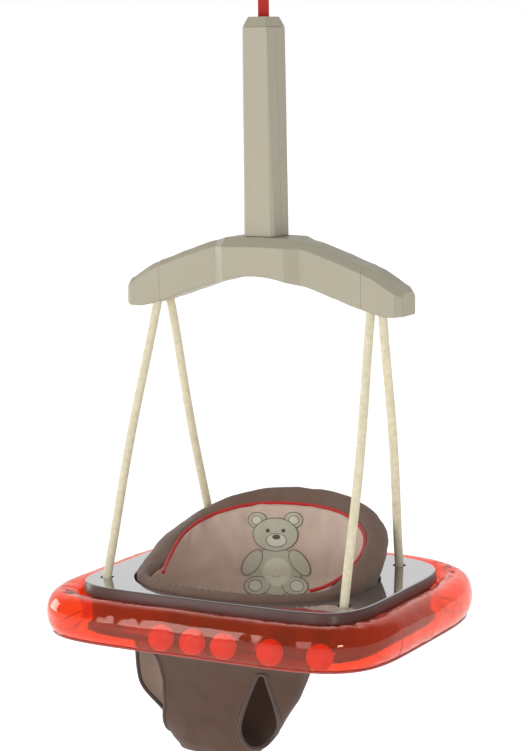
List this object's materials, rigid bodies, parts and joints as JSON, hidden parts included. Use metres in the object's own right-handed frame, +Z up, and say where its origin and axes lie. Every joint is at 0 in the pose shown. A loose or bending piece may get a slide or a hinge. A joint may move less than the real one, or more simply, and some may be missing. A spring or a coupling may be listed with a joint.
{
  "type": "activity jumper",
  "caption": "Doorway baby jumper: spring tower and yoke on a strap, four ropes, glossy tray with an inflatable ball ring and a padded fabric seat.",
  "frame": {"origin": "the point inside the top of the snap hook that bears on what the jumper hangs from", "axes": "+Z up, the strap's direction; -Y towards the front of the seat; +X to the right seen from the front"},
  "size_m": [0.456, 0.412, 1.0185],
  "materials": {
    "housing_plastic": "satin",
    "steel": "bright",
    "strap_webbing": "woven",
    "rope_braid": "braided",
    "tray_plastic": "high gloss",
    "frame_plastic": "matte",
    "clear_red_vinyl": "clear gloss",
    "ball_plastic": "gloss",
    "seat_fabric": "brushed cotton",
    "inner_plastic": "matte"
  },
  "bodies": {
    "hanger": {"hook_body": "steel", "gate_pin": "steel", "strap": "strap_webbing", "strap_slider": "inner_plastic", "strap_pin": "steel", "plunger": "inner_plastic"},
    "hook_gate": {"hook_gate": "steel"},
    "tower": {"tower_front": "housing_plastic", "tower_rear": "housing_plastic", "tower_cap": "housing_plastic", "spring_seat": "steel", "spring": "steel", "yoke_front": "housing_plastic", "yoke_rear": "housing_plastic", "yoke_end_left": "housing_plastic", "yoke_end_right": "housing_plastic", "upper_knot_front_left": "rope_braid", "upper_knot_front_right": "rope_braid", "upper_knot_rear_left": "rope_braid", "upper_knot_rear_right": "rope_braid", "yoke_screw_1": "steel", "yoke_screw_2": "steel", "yoke_screw_3": "steel", "yoke_screw_4": "steel"},
    "seat": {"rope_front_left": "rope_braid", "rope_front_right": "rope_braid", "rope_rear_left": "rope_braid", "rope_rear_right": "rope_braid", "lower_knot_front_left": "rope_braid", "lower_knot_front_right": "rope_braid", "lower_knot_rear_left": "rope_braid", "lower_knot_rear_right": "rope_braid", "tray_top": "tray_plastic", "tray_frame": "frame_plastic", "seat_hoop": "steel", "air_ring": "clear_red_vinyl", "valve_body": "clear_red_vinyl", "valve_plug": "ball_plastic", "seat_collar": "seat_fabric", "seat_bag": "seat_fabric", "frame_screw_front_left": "steel", "frame_screw_front_right": "steel", "frame_screw_rear_left": "steel", "frame_screw_rear_right": "steel"},
    "ball_1": {"ball_1": "ball_plastic"},
    "ball_2": {"ball_2": "ball_plastic"},
    "ball_3": {"ball_3": "ball_plastic"},
    "ball_4": {"ball_4": "ball_plastic"},
    "ball_5": {"ball_5": "ball_plastic"},
    "ball_6": {"ball_6": "ball_plastic"}
  },
  "joints": [
    {"name": "bounce", "type": "slide", "parent": "hanger", "child": "tower", "axis": [0, 0, -1], "range_m": [0, 0.1], "stiffness_N_per_m": 900, "springref_m": -0.07, "deforming": ["spring"]},
    {"name": "seat_swing", "type": "hinge", "parent": "tower", "child": "seat", "pos_m": [0, 0, -0.481], "axis": [1, 0, 0], "range_deg": [-14, 14]},
    {"name": "hook_gate_pivot", "type": "hinge", "parent": "hanger", "child": "hook_gate", "pos_m": [0.015, 0, -0.0557], "axis": [0, 1, 0], "range_deg": [-32, 0], "stiffness_Nm_per_rad": 0.03, "springref_deg": 22.92},
    {"name": "ball_1_roll", "type": "slide", "parent": "seat", "child": "ball_1", "axis": [1, 0, 0], "range_m": [-0.083, 0.0045]},
    {"name": "ball_2_roll", "type": "slide", "parent": "seat", "child": "ball_2", "axis": [1, 0, 0], "range_m": [-0.0045, 0.004]},
    {"name": "ball_3_roll", "type": "slide", "parent": "seat", "child": "ball_3", "axis": [1, 0, 0], "range_m": [-0.004, 0.013]},
    {"name": "ball_4_roll", "type": "slide", "parent": "seat", "child": "ball_4", "axis": [1, 0, 0], "range_m": [-0.0135, 0.013]},
    {"name": "ball_5_roll", "type": "hinge", "parent": "seat", "child": "ball_5", "pos_m": [0.1431, -0.1247, -0.8485], "axis": [0, 0, 1], "range_deg": [-8, 28]},
    {"name": "ball_6_roll", "type": "slide", "parent": "seat", "child": "ball_6", "axis": [1, 0, 0], "range_m": [-0.02, 0.02]}
  ]
}
